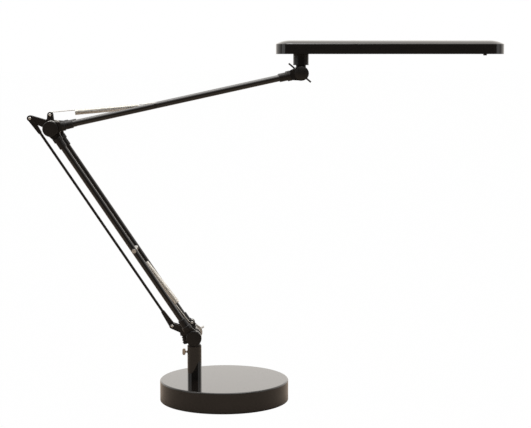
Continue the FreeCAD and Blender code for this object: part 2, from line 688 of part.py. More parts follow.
def cross_pin():
    """The pin through both tubes that the spring pulls on."""
    diameter, height = CROSS_PIN_HEAD
    outside = TUBE_Y + TUBE_DIAMETER / 2
    pin = across(CROSS_PIN_DIAMETER / 2, -outside, outside, CROSS_PIN_AT)
    head = across(diameter / 2, -outside - height, -outside, CROSS_PIN_AT)
    return pin.fuse([head, mirrored(head)]).removeSplitter()


def arm_parts(name, origin, angle, length, near_outer, far_outer):
    """The rigid pieces of one arm: two tubes, four fittings and the cross pin."""
    far_end = Placement(Vector(length, 0, 0), Rotation(Z_AXIS, 180))
    parts = {}
    for side, y in (("front", -TUBE_Y), ("rear", TUBE_Y)):
        near = arm_fitting(near_outer)
        far = mirrored(arm_fitting(far_outer))
        far.Placement = far_end
        if side == "front":
            near, far = mirrored(near), mirrored(far)
        shift = origin + Vector(0, y, 0)
        parts[name + "_" + side + "_tube"] = placed(arm_tube(length), shift, angle)
        parts[name + "_" + side + "_near_fitting"] = placed(near, shift, angle)
        parts[name + "_" + side + "_far_fitting"] = placed(far, shift, angle)
    parts[name + "_cross_pin"] = placed(cross_pin(), origin, angle)
    return parts


def link_rod():
    """The rod between the two cranks, with flat tapered ends, along +X from its lower eye."""
    half = ROD_EYE_THICKNESS / 2
    rod = cylinder(ROD_DIAMETER / 2, Vector(ROD_END_LENGTH / 2, 0, 0), X_AXIS, ARM_LENGTH - ROD_END_LENGTH)
    ends = []
    for eye, inner in ((0.0, ROD_END_LENGTH), (ARM_LENGTH, ARM_LENGTH - ROD_END_LENGTH)):
        ends.append(link_plate((eye, 0), ROD_EYE_RADIUS, (inner, 0), ROD_END_RADIUS, -half, half))
    rod = rod.fuse(ends).removeSplitter()
    lower = across(CRANK_PIN_RADIUS + RUNNING_CLEARANCE, -half, half)
    upper = across(CRANK_PIN_RADIUS + OPEN_PIVOT_CLEARANCE, -half, half, ARM_LENGTH)
    return rod.cut(Part.makeCompound([lower, upper]))


# ------------------------------------------------------------------ springs


def arc_from(start, tangent, end):
    """The arc that leaves start along tangent and reaches end."""
    chord = end - start
    turn = tangent.getAngle(chord)
    if turn < 1e-6:
        return Part.makeLine(start, end)
    control = start + tangent * (chord.Length / (2 * math.cos(turn)))
    middle = (start + end) * 0.5
    return Part.Arc(start, middle + (control - middle) * (math.tan(turn / 2) / math.tan(turn)), end).toShape()


def biarc(start, start_tangent, end, end_tangent):
    """Two arcs that join start to end, smooth at both ends and where they meet."""
    span = end - start
    both = start_tangent + end_tangent
    bend = 2 * (1 - start_tangent.dot(end_tangent))
    reach = span.dot(both)
    if bend < 1e-9:
        arm = span.dot(span) / (2 * reach)
    else:
        arm = (math.sqrt(reach * reach + bend * span.dot(span)) - reach) / bend
    first = start + start_tangent * arm
    second = end - end_tangent * arm
    meet = (first + second) * 0.5
    onward = (second - first).normalize()
    return [arc_from(start, start_tangent, meet), arc_from(meet, onward, end)]


def spring_path(length):
    """The wire's centre line along +X, from a hook round the ear's pin to one round the cross pin."""
    hook = COIL_RADIUS
    coil_start = EAR_LEG
    coil_end = length - ANCHOR_LEG
    pitch = (coil_end - coil_start) / (COIL_TURNS + 0.5)
    open_angle = math.radians(90 + HOOK_TURN)

    def on_hook(centre, angle):
        return Vector(centre + hook * math.cos(angle), 0, hook * math.sin(angle))

    def on_coil(turns):
        angle = 2 * math.pi * turns
        return Vector(coil_start + pitch * (turns + 0.25), hook * math.sin(angle), hook * math.cos(angle))

    def coil_tangent(turns):
        angle = 2 * math.pi * turns
        step = Vector(pitch, 2 * math.pi * hook * math.cos(angle), -2 * math.pi * hook * math.sin(angle))
        return step.normalize()

    edges = []
    free = on_hook(0, open_angle)
    leaving = Vector(math.sin(open_angle), 0, -math.cos(open_angle))
    edges.append(Part.makeLine(free - leaving * WIRE_DIAMETER, free))
    middle = on_hook(0, (open_angle + math.pi / 2) / 2)
    edges.append(Part.Arc(free, middle, on_hook(0, math.pi / 2)).toShape())
    leg_end = Vector(coil_start - hook / 2, 0, hook)
    edges.append(Part.makeLine(on_hook(0, math.pi / 2), leg_end))
    edges += biarc(leg_end, X_AXIS, on_coil(0.25), coil_tangent(0.25))
    halves = 2 * COIL_TURNS - 1
    for i in range(halves):
        first, second = 0.25 + i / 2, 0.25 + (i + 1) / 2
        edges += biarc(on_coil(first), coil_tangent(first), on_coil(second), coil_tangent(second))
    last = 0.25 + halves / 2
    leg_start = Vector(coil_end + hook / 2, 0, hook)
    edges += biarc(on_coil(last), coil_tangent(last), leg_start, X_AXIS)
    edges.append(Part.makeLine(leg_start, on_hook(length, math.pi / 2)))
    end_angle = math.radians(90 - HOOK_TURN)
    tip = on_hook(length, end_angle)
    middle = on_hook(length, (math.pi / 2 + end_angle) / 2)
    edges.append(Part.Arc(on_hook(length, math.pi / 2), middle, tip).toShape())
    onward = Vector(math.sin(end_angle), 0, -math.cos(end_angle))
    edges.append(Part.makeLine(tip, tip + onward * WIRE_DIAMETER))
    return edges


def least_self_gap(edges):
    """The least gap between stretches of the wire that don't follow each other, on sampled points."""
    points = []
    travelled = 0.0
    previous = None
    for edge in edges:
        for share in (0.0, 0.25, 0.5, 0.75):
            parameter = edge.FirstParameter + share * (edge.LastParameter - edge.FirstParameter)
            point = edge.valueAt(parameter)
            if previous is not None:
                travelled += point.distanceToPoint(previous)
            previous = point
            points.append((travelled, point))
    least = math.inf
    for i, (place, point) in enumerate(points):
        for other_place, other in points[i + 1 : i + 60]:
            if other_place - place > 4 * WIRE_DIAMETER:
                least = min(least, point.distanceToPoint(other))
    return least - WIRE_DIAMETER


def spring(name, ear_pin, anchor):
    """An extension spring of one unbroken wire, hooked on the ear's pin and the arm's cross pin."""
    span = anchor - ear_pin
    edges = spring_path(span.Length)
    print(name, "least gap between turns", round(least_self_gap(edges), 3), "mm")
    start = edges[0].valueAt(edges[0].FirstParameter)
    direction = edges[0].tangentAt(edges[0].FirstParameter)
    section = polygon_wire(WIRE_SIDES, WIRE_DIAMETER / 2, start, direction)
    solid = Part.Wire(edges).makePipeShell([section], True, False)
    return placed(solid, ear_pin, math.degrees(math.atan2(span.z, span.x)))


# ------------------------------------------------------------------ head joint


def head_knuckle():
    """The casting between the upper arm's eyes, with the neck and the spigot that the head turns on."""
    side = TUBE_Y + LAP_GAP / 2 - FACE_GAP
    body = across(KNUCKLE_RADIUS, -KNUCKLE_HALF_WIDTH, KNUCKLE_HALF_WIDTH)
    arms = across(SPACER_RADIUS, -side, side)
    half_x, half_y = KNUCKLE_NECK[0] / 2, KNUCKLE_NECK[1] / 2
    top = NECK_START - FACE_GAP
    neck = rounded_box(-half_x, half_x, -half_y, half_y, 0, top, 3.0)
    spigot = cylinder(SPIGOT_DIAMETER / 2, Vector(0, 0, top), Z_AXIS, SWIVEL_LOW + SWIVEL_NUT[1] - top)
    body = body.fuse([arms, neck, spigot]).removeSplitter()
    return body.cut(across(BOLT_HOLE, -side, side))


SWIVEL_LOW = HEAD_RISE + TRAY_THICKNESS + FACE_GAP


def swivel_nut():
    """The round nut on the spigot, inside the head, that keeps the head on."""
    low = Vector(0, 0, SWIVEL_LOW)
    nut = cylinder(SWIVEL_NUT[0], low, Z_AXIS, SWIVEL_NUT[1])
    return nut.cut(cylinder(SPIGOT_DIAMETER / 2 + SEAT_CLEARANCE, low, Z_AXIS, SWIVEL_NUT[1]))


# ------------------------------------------------------------------ head

HEAD_NEAR = -HEAD_OVERHANG
HEAD_FAR = HEAD_LENGTH - HEAD_OVERHANG
HEAD_HALF = HEAD_DEPTH / 2
WINDOW_END = HEAD_FAR - WINDOW_END_MARGIN
BOARD_LOW = TRAY_THICKNESS + RAIL_HEIGHT
BUTTON_PLACE = Vector(HEAD_FAR - BUTTON_INSET, -BUTTON_SIDE, 0)


def crowned_body(inset, low, drop):
    """The head's form drawn in by inset: upright sides, rounded corners and a crown over the top."""
    rise = HEAD_HEIGHT - HEAD_SIDE
    crown = (CROWN_RUN**2 + rise**2) / (2 * rise)
    outer = HEAD_CORNER - inset
    ridge = HEAD_CORNER - CROWN_RUN
    high = HEAD_HEIGHT - drop
    radius = crown - drop
    reach = outer - ridge
    side = high - radius + math.sqrt(radius**2 - reach**2)
    mid = reach / 2
    arch = Part.Arc(
        Vector(outer, 0, side),
        Vector(ridge + mid, 0, high - radius + math.sqrt(radius**2 - mid**2)),
        Vector(ridge, 0, high),
    ).toShape()
    edges = [
        Part.makeLine(Vector(0, 0, low), Vector(outer, 0, low)),
        Part.makeLine(Vector(outer, 0, low), Vector(outer, 0, side)),
        arch,
        Part.makeLine(Vector(ridge, 0, high), Vector(0, 0, high)),
        Part.makeLine(Vector(0, 0, high), Vector(0, 0, low)),
    ]
    profile = Part.Face(Part.Wire(edges))
    near, far = HEAD_NEAR + HEAD_CORNER, HEAD_FAR - HEAD_CORNER
    back = HEAD_HALF - HEAD_CORNER
    pieces = [block(near, far, -back, back, low, high)]
    for x, y, heading in ((far, back, 0), (near, back, 90), (near, -back, 180), (far, -back, 270)):
        corner = profile.revolve(Vector(0, 0, 0), Z_AXIS, 90)
        corner.Placement = Placement(Vector(x, y, 0), Rotation(Z_AXIS, heading))
        pieces.append(corner)
    for x, y, heading in ((far, -back, 0), (far, back, 90), (near, back, 180), (near, -back, 270)):
        length = 2 * back if heading in (0, 180) else far - near
        run = profile.extrude(Vector(0, length, 0))
        run.Placement = Placement(Vector(x, y, 0), Rotation(Z_AXIS, heading))
        pieces.append(run)
    return pieces[0].fuse(pieces[1:]).removeSplitter()


def tray_screw_places():
    """Where the four screws that hold the tray to the cover stand."""
    along_x, along_y = TRAY_SCREW_INSET
    y = HEAD_HALF - along_y
    return [(x, s * y) for x in (HEAD_NEAR + along_x, HEAD_FAR - along_x) for s in (-1, 1)]


def head_cover():
    """The crowned upper shell of the head, with four screw bosses inside."""
    shell = crowned_body(0, 0, 0).cut(crowned_body(HEAD_WALL, -1, HEAD_WALL))
    bosses = []
    drills = []
    for x, y in tray_screw_places():
        bosses.append(cylinder(SCREW_BOSS_RADIUS, Vector(x, y, TRAY_THICKNESS), Z_AXIS, HEAD_SIDE))
        drills.append(cylinder(SCREW_HOLE, Vector(x, y, 0), Z_AXIS, SCREW_LENGTH + 1))
    bosses = [boss.common(crowned_body(HEAD_WALL / 2, -1, HEAD_WALL / 2)) for boss in bosses]
    shell = shell.fuse(bosses).removeSplitter()
    return shell.cut(Part.makeCompound(drills))


def head_tray():
    """The black tray that closes the head from below, with the light's window and two rails."""
    gap = HEAD_WALL + TRAY_CLEARANCE
    side = HEAD_HALF - gap
    tray = rounded_box(HEAD_NEAR + gap, HEAD_FAR - gap, -side, side, 0, TRAY_THICKNESS, HEAD_CORNER - gap)
    half = WINDOW_WIDTH / 2
    window = rounded_box(WINDOW_START, WINDOW_END, -half, half, 0, TRAY_THICKNESS, WINDOW_CORNER)
    inner = half + DIFFUSER_FLANGE[0] + TRAY_CLEARANCE
    rails = []
    for side in (-1, 1):
        low, high = sorted((side * inner, side * (inner + RAIL_WIDTH)))
        rails.append(block(WINDOW_START, WINDOW_END, low, high, TRAY_THICKNESS - 0.5, BOARD_LOW))
    tray = tray.fuse(rails).removeSplitter()
    holes = [window]
    for x, y in tray_screw_places():
        holes.append(turned(screw_outline(SEAT_CLEARANCE), Vector(x, y, 0)))
    holes.append(cylinder(SPIGOT_DIAMETER / 2 + 0.5, Vector(0, 0, 0), Z_AXIS, TRAY_THICKNESS))
    for place in neck_screw_places():
        holes.append(turned(screw_outline(SEAT_CLEARANCE), place, Z_AXIS * -1))
    holes.append(cylinder(BUTTON_RADIUS + BUTTON_CLEARANCE, BUTTON_PLACE, Z_AXIS, TRAY_THICKNESS))
    return tray.cut(Part.makeCompound(holes))


def screw_outline(extra):
    """Half the outline of a countersunk screw, head down, larger all round by extra."""
    head_radius = SCREW_HEAD[0] / 2 + extra
    radius = SCREW_DIAMETER / 2 + extra
    return [(0, 0), (head_radius, 0), (radius, SCREW_HEAD[1]), (radius, SCREW_LENGTH), (0, SCREW_LENGTH)]


def neck_screw_places():
    """Where the three screws that hold the neck to the tray stand, flush with the tray's top."""
    reach = NECK_SCREW_CIRCLE / 2
    turns = [math.radians(60 + i * 360 / NECK_SCREWS) for i in range(NECK_SCREWS)]
    return [Vector(reach * math.cos(turn), reach * math.sin(turn), TRAY_THICKNESS) for turn in turns]


def head_screws():
    """The head's small screws, one solid each: four up through the tray, three down into the neck."""
    screws = [turned(screw_outline(0), Vector(x, y, 0)) for x, y in tray_screw_places()]
    screws += [turned(screw_outline(0), place, Z_AXIS * -1) for place in neck_screw_places()]
    return Part.makeCompound(screws)


def head_neck():
    """The round neck under the tray, bored for the knuckle's spigot."""
    low = NECK_START - HEAD_RISE
    bore = SPIGOT_DIAMETER / 2 + RUNNING_CLEARANCE
    neck = turned(
        [
            (bore, low),
            (NECK_RADIUS + NECK_LIP / 2, low),
            (NECK_RADIUS + NECK_LIP / 2, low + NECK_LIP),
            (NECK_RADIUS, low + 2 * NECK_LIP),
            (NECK_RADIUS, 0),
            (bore, 0),
        ]
    )
    for place in neck_screw_places():
        neck = neck.cut(cylinder(SCREW_HOLE, place, Z_AXIS * -1, SCREW_LENGTH))
    return neck


def diffuser():
    """The opal panel: its face sits in the window, its flange on the tray."""
    start, end = WINDOW_START + TRAY_CLEARANCE, WINDOW_END - TRAY_CLEARANCE
    side = WINDOW_WIDTH / 2 - TRAY_CLEARANCE
    corner = WINDOW_CORNER - TRAY_CLEARANCE
    face = rounded_box(start, end, -side, side, DIFFUSER_RECESS, TRAY_THICKNESS, corner)
    flange, thickness = DIFFUSER_FLANGE
    side = WINDOW_WIDTH / 2 + flange
    top = TRAY_THICKNESS + thickness
    rest = block(WINDOW_START - flange, WINDOW_END + flange, -side, side, TRAY_THICKNESS, top)
    return face.fuse(rest).removeSplitter()


def led_board():
    """The aluminium-backed board that carries the LEDs and lies on the tray's rails."""
    half = WINDOW_WIDTH / 2 + DIFFUSER_FLANGE[0] + TRAY_CLEARANCE + RAIL_WIDTH
    return block(WINDOW_START, WINDOW_END, -half, half, BOARD_LOW, BOARD_LOW + BOARD_THICKNESS)


def leds():
    """The LEDs in two rows under the board, one solid each."""
    length, width, height = LED_SIZE
    pitch = (WINDOW_END - WINDOW_START) / LED_COLUMNS
    chips = []
    for row in range(LED_ROWS):
        y = (row - (LED_ROWS - 1) / 2) * LED_ROW_GAP
        for column in range(LED_COLUMNS):
            x = WINDOW_START + (column + 0.5) * pitch
            chips.append(pad(x, y, length, width, BOARD_LOW - height, BOARD_LOW))
    return Part.makeCompound(chips)


def switch_button():
    """The push button under the head's far end, with the flange that keeps it in."""
    flange_radius, flange = BUTTON_FLANGE
    top = TRAY_THICKNESS + FACE_GAP
    return turned(
        [
            (0, -BUTTON_PROUD),
            (BUTTON_RADIUS - 0.6, -BUTTON_PROUD),
            (BUTTON_RADIUS, -BUTTON_PROUD + 0.6),
            (BUTTON_RADIUS, top),
            (flange_radius, top),
            (flange_radius, top + flange),
            (0, top + flange),
        ],
        BUTTON_PLACE,
    )


def switch_body():
    """The switch over the button, on two feet that stand on the tray."""
    x, y = BUTTON_PLACE.x, BUTTON_PLACE.y
    length, width, height = SWITCH_BODY
    low = TRAY_THICKNESS + FACE_GAP + BUTTON_FLANGE[1] + BUTTON_TRAVEL + 0.2
    body = pad(x, y, length, width, TRAY_THICKNESS, low + height)
    return body.cut(pad(x, y, 2 * BUTTON_FLANGE[0] + 0.8, 2 * width, TRAY_THICKNESS, low))


# ------------------------------------------------------------------ the whole lamp


def base_parts():
    """Pieces that stand on the table, and the clamp screw in the post."""
    return {
        "base_cover": base_cover(),
        "base_weight": base_weight(),
        "bottom_plate": bottom_plate(),
        "base_pad": base_pad(),
        "plate_screws": plate_screws(),
        "post_tube": post_tube(),
        "post_plug": post_plug(),
        "post_bolt": post_bolt(),
        "pivot_bush": pivot_bush(),
        "clamp_screw": clamp_screw(),
    }


def hub_parts(name, origin, cap, wing_angle, wing_tip):
    """What all three hubs have: a bolt, its cap, a washer and a wing nut."""
    return {
        name + "_bolt": placed(hub_bolt(), origin),
        name + "_cap": placed(cap, origin),
        name + "_washer": placed(toothed_washer(), origin),
        name + "_wing_nut": placed(wing_nut(wing_angle, wing_tip), origin),
    }


def shoulder_parts():
    """The swivelling shoulder: the lower arm's eyes take the outer half of the stack."""
    parts = hub_parts("shoulder", SHOULDER, flat_cap(), SHOULDER_WING_ANGLE, NUT_WING_TIP)
    parts["shoulder_spacers"] = placed(spacers(TUBE_Y + LAP_GAP / 2 - FACE_GAP), SHOULDER)
    parts["shoulder_rivets"] = placed(bracket_rivets(), SHOULDER)
    parts["shoulder_spigot"] = placed(shoulder_spigot(), SHOULDER)
    parts["shoulder_front_plate"] = placed(bracket_plate(-PLATE_FACE), SHOULDER)
    parts["shoulder_rear_plate"] = placed(shoulder_rear_plate(), SHOULDER)
    parts["cord_gland"] = placed(cord_gland(), SHOULDER)
    return parts


def elbow_parts():
    """The elbow, with a third spacer between its plates and the lower arm's eyes inside the upper's."""
    parts = hub_parts("elbow", ELBOW, flat_cap(), ELBOW_WING_ANGLE, NUT_WING_TIP)
    half = BRACKET_GAP / 2
    core = across(CORE_RADIUS, -half, half).cut(across(BOLT_HOLE, -half, half))
    outer_spacers = spacers(TUBE_Y - LAP_GAP / 2 - EYE_THICKNESS - FACE_GAP)
    parts["elbow_spacers"] = placed(Part.makeCompound([core, outer_spacers]), ELBOW)
    parts["elbow_rivets"] = placed(bracket_rivets(), ELBOW)
    parts["elbow_front_plate"] = placed(bracket_plate(-PLATE_FACE), ELBOW)
    parts["elbow_rear_plate"] = placed(bracket_plate(half), ELBOW)
    return parts


def head_parts():
    """The head joint and the head."""
    parts = hub_parts("head", HEAD_JOINT, domed_cap(), HEAD_WING_ANGLE, HEAD_NUT_WING_TIP)
    parts["head_knuckle"] = placed(head_knuckle(), HEAD_JOINT)
    parts["swivel_nut"] = placed(swivel_nut(), HEAD_JOINT)
    housing = [head_cover, head_tray, head_neck, head_screws]
    lighting = [diffuser, led_board, leds, switch_button, switch_body]
    for maker in housing + lighting:
        parts[maker.__name__] = placed(maker(), HEAD_ORIGIN)
    return parts


def pin_at(origin, pin):
    """A bracket's pin, in the lamp's frame."""
    return origin + Vector(pin[0], 0, pin[1])


def lamp():
    """Every piece of the lamp under its name."""
    parts = base_parts()
    parts.update(shoulder_parts())
    parts.update(arm_parts("lower_arm", SHOULDER, LOWER_ANGLE, ARM_LENGTH, True, False))
    parts["link_rod"] = placed(link_rod(), pin_at(SHOULDER, CRANK_PIN), LOWER_ANGLE)
    parts.update(elbow_parts())
    parts.update(arm_parts("upper_arm", ELBOW, UPPER_RISE, UPPER_ARM_LENGTH, True, True))
    lower_anchor = SHOULDER + along(LOWER_ANGLE, CROSS_PIN_AT)
    upper_anchor = ELBOW + along(UPPER_RISE, CROSS_PIN_AT)
    parts["lower_spring"] = spring("lower_spring", pin_at(SHOULDER, SPRING_PIN), lower_anchor)
    parts["upper_spring"] = spring("upper_spring", pin_at(ELBOW, SPRING_PIN), upper_anchor)
    parts.update(head_parts())
    return parts


os.makedirs("parts", exist_ok=True)
for name, shape in lamp().items():
    shape.exportStep(os.path.join("parts", name + ".step"))
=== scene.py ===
import json
import math

import bmesh
import bpy
from mathutils import Euler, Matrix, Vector


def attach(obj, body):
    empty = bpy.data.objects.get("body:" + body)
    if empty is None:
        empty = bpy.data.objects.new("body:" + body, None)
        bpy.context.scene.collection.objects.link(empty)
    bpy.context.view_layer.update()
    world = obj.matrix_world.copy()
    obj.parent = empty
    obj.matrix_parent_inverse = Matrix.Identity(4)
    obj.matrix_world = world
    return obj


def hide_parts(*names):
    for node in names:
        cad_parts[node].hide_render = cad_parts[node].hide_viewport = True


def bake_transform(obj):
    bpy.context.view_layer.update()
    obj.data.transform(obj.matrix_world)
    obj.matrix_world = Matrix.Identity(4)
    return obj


# The dressed lamp: black lacquered base, post, tubes and head, satin black joints, bright springs
# and small metal. Everything is placed from the frame's boxes and joints, in metres.

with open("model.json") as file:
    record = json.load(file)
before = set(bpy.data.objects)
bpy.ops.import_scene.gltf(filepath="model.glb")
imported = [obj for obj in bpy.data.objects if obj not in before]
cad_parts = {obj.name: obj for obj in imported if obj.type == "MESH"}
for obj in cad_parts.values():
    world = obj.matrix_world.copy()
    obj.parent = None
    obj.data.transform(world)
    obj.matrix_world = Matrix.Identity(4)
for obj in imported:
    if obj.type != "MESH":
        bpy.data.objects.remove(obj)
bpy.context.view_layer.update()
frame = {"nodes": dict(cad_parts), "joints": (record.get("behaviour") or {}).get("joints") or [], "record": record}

MM = 0.001
IMAGE_SIZE = (531, 428)

# ---- Camera, fitted to the photograph
CAMERA_PLACE = (0.024, -2.112, 0.5115)
CAMERA_PITCH = 6.33  # degrees below level
CAMERA_PAN = 1.012  # degrees towards +X
CAMERA_FOCUS = 1448.0  # pixels
SENSOR_WIDTH = 36.0


# ------------------------------------------------------------------ materials


def material(name, base, metallic=0.0, roughness=0.5, coat=0.0, specular=0.5):
    """A principled material with constant sockets set, ready for its own nodes."""
    made = bpy.data.materials.new(name)
    made.use_nodes = True
    shader = made.node_tree.nodes["Principled BSDF"]
    shader.inputs["Base Color"].default_value = (*base, 1)
    shader.inputs["Metallic"].default_value = metallic
    shader.inputs["Roughness"].default_value = roughness
    shader.inputs["Coat Weight"].default_value = coat
    shader.inputs["Coat Roughness"].default_value = 0.03
    shader.inputs["Specular IOR Level"].default_value = specular
    return made


def noise(made, scale, detail=4.0, stretch=(1, 1, 1)):
    """A noise value over the object's own coordinates, in metres."""
    nodes, links = made.node_tree.nodes, made.node_tree.links
    place = nodes.new("ShaderNodeTexCoord")
    shape = nodes.new("ShaderNodeMapping")
    shape.inputs["Scale"].default_value = stretch
    grain = nodes.new("ShaderNodeTexNoise")
    grain.inputs["Scale"].default_value = scale
    grain.inputs["Detail"].default_value = detail
    links.new(place.outputs["Object"], shape.inputs["Vector"])
    links.new(shape.outputs["Vector"], grain.inputs["Vector"])
    return grain.outputs["Fac"]


def spread(made, value, low, high, socket):
    """Feeds a value, mapped from low to high, into one of the shader's sockets."""
    nodes, links = made.node_tree.nodes, made.node_tree.links
    span = nodes.new("ShaderNodeMapRange")
    span.inputs["From Min"].default_value = 0.3
    span.inputs["From Max"].default_value = 0.7
    span.inputs["To Min"].default_value = low
    span.inputs["To Max"].default_value = high
    links.new(value, span.inputs["Value"])
    links.new(span.outputs["Result"], nodes["Principled BSDF"].inputs[socket])


def tint(made, value, dark, light):
    """Feeds a colour between dark and light into the shader's base colour."""
    nodes, links = made.node_tree.nodes, made.node_tree.links
    ramp = nodes.new("ShaderNodeValToRGB")
    ramp.color_ramp.elements[0].position = 0.3
    ramp.color_ramp.elements[0].color = (*dark, 1)
    ramp.color_ramp.elements[1].position = 0.7
    ramp.color_ramp.elements[1].color = (*light, 1)
    links.new(value, ramp.inputs["Fac"])
    links.new(ramp.outputs["Color"], nodes["Principled BSDF"].inputs["Base Color"])


def bump(made, value, strength, distance):
    """Turns a value into a fine relief."""
    nodes, links = made.node_tree.nodes, made.node_tree.links
    relief = nodes.new("ShaderNodeBump")
    relief.inputs["Strength"].default_value = strength
    relief.inputs["Distance"].default_value = distance
    links.new(value, relief.inputs["Height"])
    links.new(relief.outputs["Normal"], nodes["Principled BSDF"].inputs["Normal"])


def black_lacquer():
    """Deep gloss enamel: a clear coat over black, with a trace of orange peel and dust."""
    made = material("black_lacquer", (0.0080, 0.0062, 0.0050), roughness=0.12, coat=1.0, specular=0.2)
    tint(made, noise(made, 18), (0.0070, 0.0052, 0.0042), (0.0105, 0.0082, 0.0068))
    spread(made, noise(made, 140, 6), 0.08, 0.16, "Roughness")
    bump(made, noise(made, 900, 2), 0.03, 0.00003)
    return made


def satin_black():
    """Die-cast fittings in a fine powder coat."""
    made = material("satin_black", (0.0085, 0.0070, 0.0060), roughness=0.34, specular=0.42)
    tint(made, noise(made, 60), (0.0070, 0.0056, 0.0048), (0.0120, 0.0100, 0.0088))
    spread(made, noise(made, 400, 6), 0.28, 0.40, "Roughness")
    bump(made, noise(made, 2600, 3), 0.05, 0.00003)
    return made


def moulded_black():
    """Moulded caps and bushes, duller, with a fine spark texture."""
    made = material("moulded_black", (0.0080, 0.0068, 0.0060), roughness=0.36, specular=0.45)
    tint(made, noise(made, 45), (0.0065, 0.0054, 0.0047), (0.0110, 0.0094, 0.0083))
    spread(made, noise(made, 500, 6), 0.30, 0.42, "Roughness")
    bump(made, noise(made, 3400, 2), 0.06, 0.00003)
    return made


def black_plate():
    """Stamped bracket plates and the link rod, in half-gloss black."""
    made = material("black_plate", (0.0080, 0.0068, 0.0060), roughness=0.28, specular=0.45)
    tint(made, noise(made, 80), (0.0065, 0.0054, 0.0047), (0.0105, 0.0090, 0.0080))
    spread(made, noise(made, 260, 6), 0.22, 0.36, "Roughness")
    bump(made, noise(made, 1500, 3), 0.03, 0.00003)
    return made


def bright_zinc():
    """Zinc-plated small metal, slightly warm, with fine tumbling marks."""
    made = material("bright_zinc", (0.78, 0.75, 0.70), metallic=1.0, roughness=0.26)
    tint(made, noise(made, 300, 5), (0.80, 0.78, 0.74), (0.93, 0.92, 0.89))
    spread(made, noise(made, 1200, 6), 0.30, 0.46, "Roughness")
    bump(made, noise(made, 4000, 3), 0.10, 0.00003)
    return made


def spring_wire():
    """Drawn steel wire, with faint lines along its length."""
    made = material("spring_wire", (0.72, 0.70, 0.67), metallic=1.0, roughness=0.28)
    tint(made, noise(made, 500, 4), (0.74, 0.72, 0.67), (0.92, 0.90, 0.85))
    spread(made, noise(made, 1500, 5), 0.20, 0.38, "Roughness")
    return made


def cast_iron():
    """Rough, dark casting for the weight."""
    made = material("cast_iron", (0.06, 0.06, 0.065), metallic=0.6, roughness=0.7)
    tint(made, noise(made, 90, 8), (0.045, 0.043, 0.042), (0.09, 0.088, 0.088))
    spread(made, noise(made, 300, 8), 0.6, 0.85, "Roughness")
    bump(made, noise(made, 700, 8), 0.5, 0.0003)
    return made


def soft_pad():
    """Black foam under the base, with open cells."""
    made = material("soft_pad", (0.018, 0.018, 0.018), roughness=0.9, specular=0.25)
    tint(made, noise(made, 1500, 4), (0.010, 0.010, 0.010), (0.032, 0.032, 0.032))
    bump(made, noise(made, 2500, 5), 0.6, 0.0002)
    return made


def warm_nickel():
    """The clamp screw's plating, a little warmer and duller than the zinc."""
    made = material("warm_nickel", (0.60, 0.53, 0.45), metallic=1.0, roughness=0.3)
    tint(made, noise(made, 300, 5), (0.48, 0.42, 0.35), (0.70, 0.63, 0.55))
    spread(made, noise(made, 1200, 6), 0.22, 0.40, "Roughness")
    bump(made, noise(made, 4000, 3), 0.10, 0.00003)
    return made


def dark_steel():
    """Blackened steel: the swivel and its bush, the head's washer and wing nut, the upper cross pin."""
    made = material("dark_steel", (0.035, 0.032, 0.030), metallic=0.6, roughness=0.35)
    tint(made, noise(made, 400, 5), (0.026, 0.024, 0.022), (0.048, 0.044, 0.041))
    spread(made, noise(made, 900, 4), 0.28, 0.44, "Roughness")
    return made


def opal_panel():
    """The diffuser, unlit: milky and faintly translucent."""
    made = material("opal_panel", (0.86, 0.86, 0.84), roughness=0.45)
    shader = made.node_tree.nodes["Principled BSDF"]
    shader.inputs["Subsurface Weight"].default_value = 0.25
    shader.inputs["Subsurface Radius"].default_value = (0.004, 0.004, 0.004)
    tint(made, noise(made, 30), (0.84, 0.84, 0.82), (0.88, 0.88, 0.865))
    bump(made, noise(made, 2000, 3), 0.2, 0.00005)
    return made


def board_white():
    """White solder mask over an aluminium board."""
    made = material("board_white", (0.80, 0.80, 0.78), roughness=0.4)
    tint(made, noise(made, 200), (0.76, 0.76, 0.74), (0.83, 0.83, 0.81))
    return made


def led_phosphor():
    """Yellow phosphor in a white chip."""
    made = material("led_phosphor", (0.90, 0.78, 0.25), roughness=0.35)
    tint(made, noise(made, 800), (0.86, 0.72, 0.20), (0.93, 0.83, 0.32))
    return made


LACQUER = black_lacquer()
SATIN = satin_black()
MOULDED = moulded_black()
PLATE = black_plate()
ZINC = bright_zinc()
WIRE = spring_wire()
DARK = dark_steel()
MATERIAL_OF = {
    "base_cover": LACQUER,
    "base_weight": cast_iron(),
    "bottom_plate": ZINC,
    "base_pad": soft_pad(),
    "post_tube": LACQUER,
    "pivot_bush": DARK,
    "clamp_screw": warm_nickel(),
    "shoulder_spigot": DARK,
    "head_washer": DARK,
    "head_wing_nut": DARK,
    "cord_gland": MOULDED,
    "link_rod": PLATE,
    "head_knuckle": SATIN,
    "head_neck": SATIN,
    "head_cover": LACQUER,
    "head_tray": MOULDED,
    "switch_button": MOULDED,
    "switch_body": MOULDED,
    "diffuser": opal_panel(),
    "led_board": board_white(),
    "leds": led_phosphor(),
}
MATERIAL_BY_ENDING = {
    "_tube": LACQUER,
    "_fitting": SATIN,
    "_plate": PLATE,
    "lower_arm_cross_pin": ZINC,
    "upper_arm_cross_pin": DARK,
    "_cap": MOULDED,
    "_spring": WIRE,
}


def node_material(name):
    """A CAD node's material: its own, one by the end of its name, or bright zinc."""
    if name in MATERIAL_OF:
        return MATERIAL_OF[name]
    for ending, made in MATERIAL_BY_ENDING.items():
        if name.endswith(ending):
            return made
    return ZINC


def finish_nodes():
    """Gives every CAD node its material."""
    for name, node in frame["nodes"].items():
        node.data.materials.clear()
        node.data.materials.append(node_material(name))


# ------------------------------------------------------------------ dressed pieces

